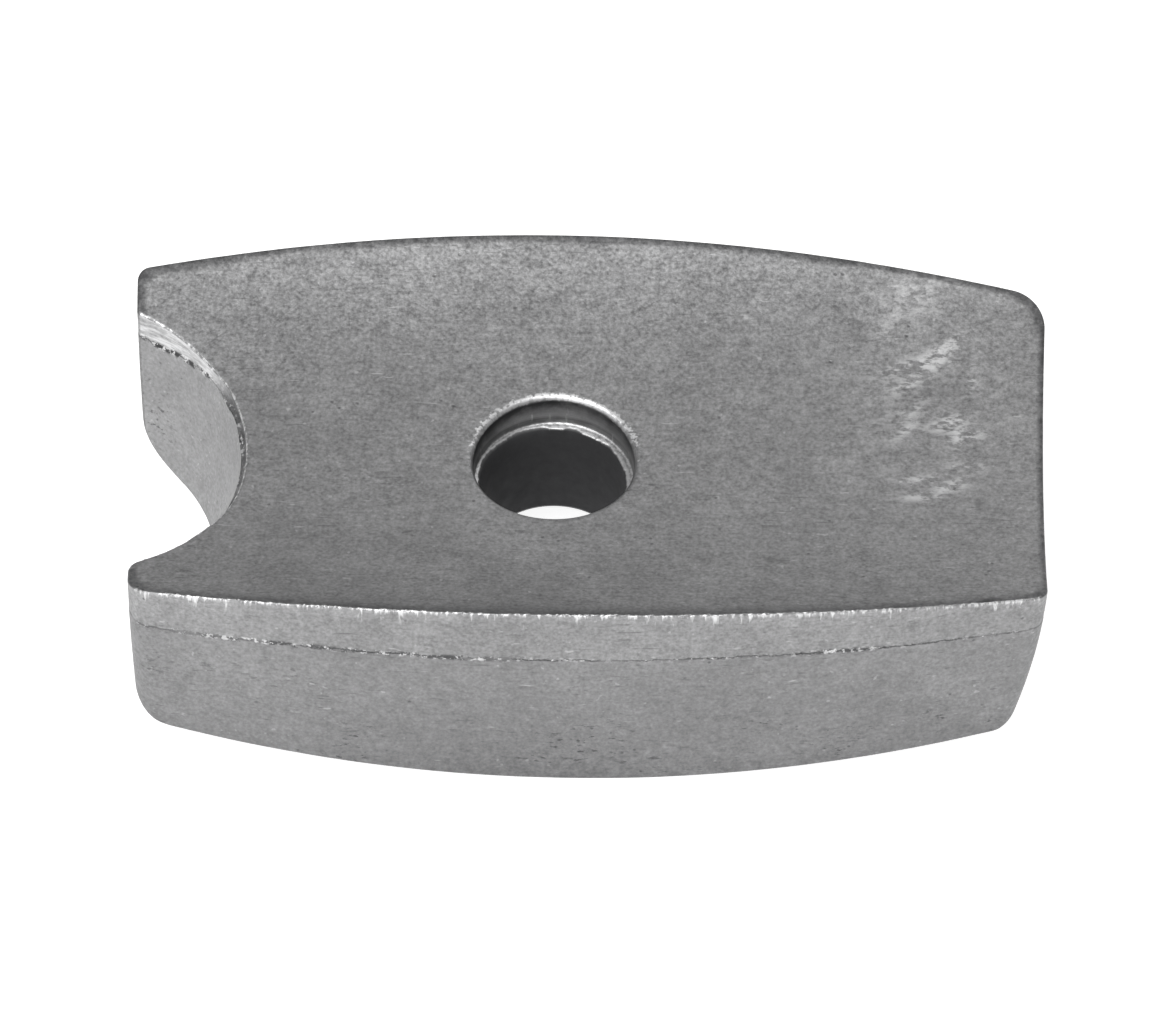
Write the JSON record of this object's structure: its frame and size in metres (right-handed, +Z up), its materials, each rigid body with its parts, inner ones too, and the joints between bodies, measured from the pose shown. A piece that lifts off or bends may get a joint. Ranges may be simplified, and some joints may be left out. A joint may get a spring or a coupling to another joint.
{
  "type": "wire rope clip clamp plate",
  "caption": "Forged clamp plate with a shallow saddle on top, bulged long sides, a crowned underside, a half-round end notch and a stepped bolt hole.",
  "frame": {"origin": "on the bolt hole's axis, level with the lowest line of the crowned underside", "axes": "+Z up along the bolt's axis, out of the saddle side; +X along the plate towards its plain end, with the notch at -X; +Y towards the back long side"},
  "size_m": [0.083, 0.0468, 0.0221],
  "materials": {
    "forged_steel": "forged, shot-blasted, dull grey"
  },
  "bodies": {
    "root": {"clamp_plate": "forged_steel"}
  },
  "joints": []
}
